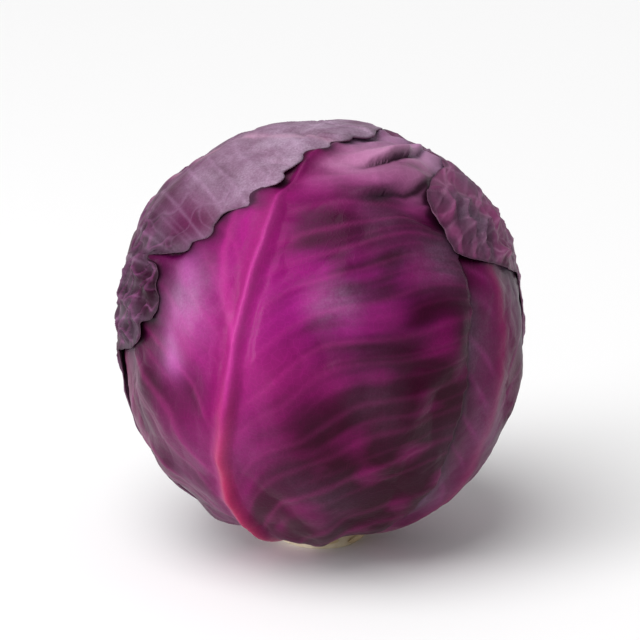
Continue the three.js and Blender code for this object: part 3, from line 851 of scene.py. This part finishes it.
def leaf_scar_tree():
    """Scars where older leaves were cut away, set around the stub a golden turn apart."""
    tree, given = new_tree("Leaf Scars", [
        ("Count", "NodeSocketInt", 7), ("Stub Radius", "NodeSocketFloat", 0.0163),
        ("Low", "NodeSocketFloat", 0.0016), ("High", "NodeSocketFloat", 0.0036),
        ("Seed", "NodeSocketInt", 4), ("Material", "NodeSocketMaterial", None)])
    take = given.outputs
    index = add_node(tree, "GeometryNodeInputIndex")
    turn = math_node(tree, "MULTIPLY", index.outputs[0], math.radians(GOLDEN_TURN))
    height = add_node(tree, "FunctionNodeRandomValue", {"data_type": "FLOAT"}, None,
                      {2: take["Low"], 3: take["High"], "Seed": take["Seed"]})
    place = add_node(tree, "ShaderNodeCombineXYZ", None, None, {
        0: math_node(tree, "ADD", math_node(tree, "MULTIPLY", math_node(tree, "COSINE", turn),
                                            take["Stub Radius"]), AXIS_X * MM),
        1: math_node(tree, "ADD", math_node(tree, "MULTIPLY", math_node(tree, "SINE", turn),
                                            take["Stub Radius"]), AXIS_Y * MM),
        2: height.outputs[1]})
    points = add_node(tree, "GeometryNodePoints", None, None,
                      {"Count": take["Count"], "Position": place.outputs[0]})
    facing = add_node(tree, "ShaderNodeCombineXYZ", None, None, {2: turn})
    scar = add_node(tree, "GeometryNodeMeshUVSphere", None, {"Segments": 14, "Rings": 8, "Radius": 1.0})
    sized = add_node(tree, "GeometryNodeTransform", None, {"Scale": (0.0007, 0.0058, 0.0013)},
                     {"Geometry": scar.outputs[0]})
    spread = add_node(tree, "GeometryNodeInstanceOnPoints", None, None, {
        "Points": points.outputs[0], "Instance": sized.outputs[0], "Rotation": facing.outputs[0]})
    real = add_node(tree, "GeometryNodeRealizeInstances", None, None, {"Geometry": spread.outputs[0]})
    finished = add_node(tree, "GeometryNodeSetMaterial", None, None,
                        {"Geometry": real.outputs[0], "Material": take["Material"]})
    add_node(tree, "NodeGroupOutput", None, None, {0: finished.outputs[0]})
    return tree


def grow(tree, name, values):
    """Run a tree with its named inputs set, and keep the result as a plain mesh."""
    carrier = bpy.data.objects.new(name + "_maker", bpy.data.meshes.new(name + "_maker"))
    bpy.context.scene.collection.objects.link(carrier)
    modifier = carrier.modifiers.new("shape", "NODES")
    modifier.node_group = tree
    for item in tree.interface.items_tree:
        if item.item_type == "SOCKET" and item.in_out == "INPUT" and item.name in values:
            modifier[item.identifier] = values[item.name]
    graph = bpy.context.evaluated_depsgraph_get()
    mesh = bpy.data.meshes.new_from_object(carrier.evaluated_get(graph), depsgraph=graph)
    mesh.name = name
    carrier.modifiers.clear()
    bpy.data.objects.remove(carrier)
    if not mesh.polygons:
        raise RuntimeError(name + " came out empty")
    return mesh


def stem_mesh():
    """The turned core with its stub: an uneven flank and a cut face that is hollowed a little."""
    profile = [(0.0, 0.55), (6.0, 0.5), (11.5, 0.3), (14.0, 0.0), (15.8, 0.0), (16.4, 0.5), (16.5, 2.0),
               (16.2, 5.0), (15.2, 9.0), (14.2, 14.0), (12.2, 28.0), (9.8, 46.0), (7.0, 60.0),
               (3.6, 69.0), (0.0, 72.0)]
    around = 72
    turn = np.arange(around) * 2 * math.pi / around
    points = [(0.0, 0.0, profile[0][1])]
    for radius, height in profile[1:-1]:
        ring = np.stack([np.cos(turn), np.sin(turn), np.full(around, height / 12)], -1) * 6
        wobble = 1 - 0.016 * (1 + np.clip(waves(ring, 5.0, 71), -1, 1))
        points += [(radius * w * math.cos(t), radius * w * math.sin(t), height)
                   for t, w in zip(turn, wobble)]
    points.append((0.0, 0.0, profile[-1][1]))
    faces = []
    rings = len(profile) - 2
    for place in range(around):
        after = (place + 1) % around
        faces.append((0, 1 + after, 1 + place))
        for ring in range(rings - 1):
            low = 1 + ring * around
            high = low + around
            faces.append((low + place, low + after, high + after, high + place))
        last = 1 + (rings - 1) * around
        faces.append((last + place, last + after, len(points) - 1))
    moved = [((x + AXIS_X) * MM, (y + AXIS_Y) * MM, z * MM) for x, y, z in points]
    mesh = bpy.data.meshes.new("stem_core_skin")
    mesh.from_pydata(moved, [], faces)
    mesh.polygons.foreach_set("use_smooth", [True] * len(mesh.polygons))
    return mesh


# ---------------------------------------------------------------- settings and operators

class CabbageSettings(bpy.types.PropertyGroup):
    width: bpy.props.FloatProperty(
        name="Half width", description="Half the width of the head, in millimetres",
        default=76.0, min=50.0, max=110.0)
    thickness: bpy.props.FloatProperty(
        name="Leaf thickness", description="Thickness of a wrapper leaf, in millimetres",
        default=1.3, min=0.6, max=3.0)
    relief: bpy.props.FloatProperty(
        name="Relief", description="How deep the veins, quilting and folds are",
        default=1.0, min=0.0, max=2.0, subtype="FACTOR")
    roughness: bpy.props.FloatProperty(
        name="Skin roughness", description="Roughness of the skin where it has no bloom",
        default=0.34, min=0.05, max=1.0, subtype="FACTOR")
    camera_distance: bpy.props.FloatProperty(
        name="Camera distance", description="From the camera to the middle of the head",
        default=1.15, min=0.4, max=5.0, unit="LENGTH")
    camera_rise: bpy.props.FloatProperty(
        name="Camera rise", description="How far the camera looks down",
        default=math.radians(16.8), subtype="ANGLE")
    camera_swing: bpy.props.FloatProperty(
        name="Camera swing", description="How far the camera stands to the right of the front",
        default=math.radians(1.0), subtype="ANGLE")
    lens: bpy.props.FloatProperty(
        name="Lens", description="Focal length of the camera, in millimetres",
        default=174.0, min=20.0, max=400.0)


class WrapperOperator:
    """Shared work of the operators that lay wrapper leaves."""
    bl_options = {"REGISTER", "UNDO"}
    orders = ()
    slot = "leaf_purple"
    material = "Glossy Purple Leaf"
    dust = "#A58CA8"
    extra_roughness = 0.0

    def execute(self, context):
        settings = context.scene.cabbage
        material = shared_material(self.material, lambda: leaf_skin(
            self.material, settings.roughness + self.extra_roughness, self.dust))
        for order in self.orders:
            mesh = build_leaf(order, settings.width, settings.thickness, settings.relief)
            if not mesh.polygons:
                raise RuntimeError("a wrapper leaf came out empty")
            finish_piece(mesh, material, [WRAPPERS[order].name])
        return {"FINISHED"}


class CABBAGE_OT_crown_leaf(WrapperOperator, bpy.types.Operator):
    """Lay the dusky outermost leaf over the crown and the left side"""
    bl_idname = "cabbage.crown_leaf"
    bl_label = "Crown Leaf"
    orders = (0,)
    slot = "leaf_dusky"
    material = "Dusky Bloomed Leaf"
    dust = "#C6AEC6"
    extra_roughness = 0.08


class CABBAGE_OT_right_leaf(WrapperOperator, bpy.types.Operator):
    """Lay the crumpled leaf at the right"""
    bl_idname = "cabbage.right_leaf"
    bl_label = "Right Leaf"
    orders = (1,)
    slot = "leaf_dusky"
    material = "Crumpled Dusky Leaf"
    dust = "#A891AC"
    extra_roughness = 0.06


class CABBAGE_OT_front_leaf(WrapperOperator, bpy.types.Operator):
    """Lay the large magenta leaf across the front"""
    bl_idname = "cabbage.front_leaf"
    bl_label = "Front Leaf"
    orders = (2,)
    slot = "leaf_magenta"
    material = "Satin Magenta Leaf"
    dust = "#B58FB4"


class CABBAGE_OT_deeper_leaves(WrapperOperator, bpy.types.Operator):
    """Lay the deeper wrapper leaves, seen between the outer ones"""
    bl_idname = "cabbage.deeper_leaves"
    bl_label = "Deeper Wrapper Leaves"
    orders = (3, 4, 5, 6, 7)


class CABBAGE_OT_inside(bpy.types.Operator):
    """Pack the nested inner leaves around the core, and finish the heart bud"""
    bl_idname = "cabbage.inside"
    bl_label = "Inner Leaves"
    bl_options = {"REGISTER", "UNDO"}

    def execute(self, context):
        outer = shared_material(
            "Tender Inner Leaf", lambda: inner_flesh("Tender Inner Leaf", "#6B245A", "#A878A0"))
        young = shared_material(
            "Young Heart Leaf", lambda: inner_flesh("Young Heart Leaf", "#9A5F90", "#E3D2DC"))
        names = sorted(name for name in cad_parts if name.startswith("inner_leaf"))
        if not names:
            raise RuntimeError("the inner leaves are missing")
        tree = packed_leaf_tree()
        for turn, name in enumerate(names):
            share = turn / (len(names) + 1)
            width = INNER_RADIUS * (1 - share)
            level = WAIST_HEIGHT + (94 - WAIST_HEIGHT) * share
            base = level - (18 + 48 * share)
            middle = way(np.array(-130.0 - GOLDEN_TURN * turn), np.array(98.0))
            material = outer if turn < 4 else young
            mesh = grow(tree, name + "_skin", {
                "Half Width": width * MM, "Crown": width * CROWN_HEIGHT / HEAD_RADIUS * MM, "Base": base * MM,
                "Level": level * MM, "Middle": tuple(float(v) for v in middle), "Reach": 1.45,
                "Opening": math.atan2(STEM_HALF, base) + 0.06, "Crumple": 0.0013, "Thickness": 0.0009,
                "Seed": float(turn), "Material": material})
            finish_piece(mesh, None, [name])
        bud = bpy.data.objects["heart_bud"]
        for slot in bud.material_slots:
            slot.material = young
        return {"FINISHED"}


class CABBAGE_OT_stem(bpy.types.Operator):
    """Turn the core with its cut stub, and set the leaf scars around it"""
    bl_idname = "cabbage.stem"
    bl_label = "Stem"
    bl_options = {"REGISTER", "UNDO"}

    def execute(self, context):
        flesh = shared_material("Cut Stem Flesh", stem_flesh)
        scar = shared_material(
            "Dried Leaf Scar", lambda: inner_flesh("Dried Leaf Scar", "#A98F62", "#D8C59C"))
        finish_piece(stem_mesh(), flesh, ["stem_core"])
        mesh = grow(leaf_scar_tree(), "leaf_scars", {"Material": scar})
        finish_piece(mesh, None, ["stem_core"])
        return {"FINISHED"}


def soft_light(name, spot, aim, size, power, colour):
    light = bpy.data.lights.new(name, "AREA")
    light.shape = "RECTANGLE"
    light.size = size[0]
    light.size_y = size[1]
    light.energy = power
    light.color = colour
    lamp = bpy.data.objects.new(name, light)
    bpy.context.scene.collection.objects.link(lamp)
    point_at(lamp, spot, aim)


def point_at(thing, spot, aim):
    thing.location = spot
    thing.rotation_euler = (Vector(aim) - Vector(spot)).to_track_quat("-Z", "Y").to_euler()


class CABBAGE_OT_stage(bpy.types.Operator):
    """Set the plain pale floor, the soft studio light and the camera"""
    bl_idname = "cabbage.stage"
    bl_label = "Stage"
    bl_options = {"REGISTER", "UNDO"}

    def execute(self, context):
        settings = context.scene.cabbage
        mesh = bpy.data.meshes.new("studio_floor")
        far = 6.0
        mesh.from_pydata([(-far, -far, 0), (far, -far, 0), (far, far, 0), (-far, far, 0)], [], [(0, 1, 2, 3)])
        floor = bpy.data.objects.new("studio_floor", mesh)
        context.scene.collection.objects.link(floor)
        material, tree = new_material("Matt White Board")
        shader = add_node(tree, "ShaderNodeBsdfPrincipled", None,
                          {"Base Color": (0.9, 0.9, 0.9, 1.0), "Roughness": 0.7})
        add_node(tree, "ShaderNodeOutputMaterial", None, None, {"Surface": shader.outputs[0]})
        mesh.materials.append(material)

        # the room is white to look at, and lights the head more softly than that
        world = bpy.data.worlds.new("Pale Studio")
        world.use_nodes = True
        tree = world.node_tree
        tree.nodes.clear()
        seen = add_node(tree, "ShaderNodeLightPath")
        level = add_node(tree, "ShaderNodeMapRange", None, {"To Min": 0.44, "To Max": 1.0},
                         {"Value": seen.outputs["Is Camera Ray"]})
        room = add_node(tree, "ShaderNodeBackground", None, {"Color": (1.0, 1.0, 1.0, 1.0)},
                        {"Strength": level.outputs[0]})
        add_node(tree, "ShaderNodeOutputWorld", None, None, {"Surface": room.outputs[0]})
        context.scene.world = world

        heart = (0.0, 0.0, WAIST_HEIGHT * MM)
        sun = bpy.data.lights.new("key_sun", "SUN")
        sun.energy = 2.2
        sun.angle = math.radians(50)
        lamp = bpy.data.objects.new("key_sun", sun)
        context.scene.collection.objects.link(lamp)
        point_at(lamp, (-0.62, -0.72, 1.85), (0.0, 0.0, 0.0))
        soft_light("left_softbox", (-0.95, -0.5, 0.32), heart, (0.42, 0.42), 6.5, (1.0, 0.97, 1.0))

        camera_data = bpy.data.cameras.new("camera")
        camera_data.lens = settings.lens
        camera_data.sensor_width = 36.0
        camera = bpy.data.objects.new("camera", camera_data)
        context.scene.collection.objects.link(camera)
        rise, swing, distance = settings.camera_rise, settings.camera_swing, settings.camera_distance
        spot = (distance * math.cos(rise) * math.sin(swing),
                -distance * math.cos(rise) * math.cos(swing),
                heart[2] + distance * math.sin(rise))
        point_at(camera, spot, heart)
        context.scene.camera = camera
        context.scene.view_settings.view_transform = "Standard"
        return {"FINISHED"}


class CABBAGE_PT_panel(bpy.types.Panel):
    """Sidebar panel with the head's settings and one button for each group of pieces"""
    bl_idname = "CABBAGE_PT_panel"
    bl_label = "Red Cabbage"
    bl_space_type = "VIEW_3D"
    bl_region_type = "UI"
    bl_category = "Cabbage"

    def draw(self, context):
        for name in CabbageSettings.__annotations__:
            self.layout.prop(context.scene.cabbage, name)
        for operator in OPERATORS:
            self.layout.operator(operator.bl_idname)


OPERATORS = (
    CABBAGE_OT_stem,
    CABBAGE_OT_inside,
    CABBAGE_OT_deeper_leaves,
    CABBAGE_OT_front_leaf,
    CABBAGE_OT_right_leaf,
    CABBAGE_OT_crown_leaf,
    CABBAGE_OT_stage,
)
CLASSES = (CabbageSettings, *OPERATORS, CABBAGE_PT_panel)


def register():
    for item in CLASSES:
        bpy.utils.register_class(item)
    bpy.types.Scene.cabbage = bpy.props.PointerProperty(type=CabbageSettings)


def unregister():
    del bpy.types.Scene.cabbage
    for item in reversed(CLASSES):
        bpy.utils.unregister_class(item)


def main():
    register()
    for operator in OPERATORS:
        family, action = operator.bl_idname.split(".")
        getattr(getattr(bpy.ops, family), action)()


if __name__ == "__main__":
    main()
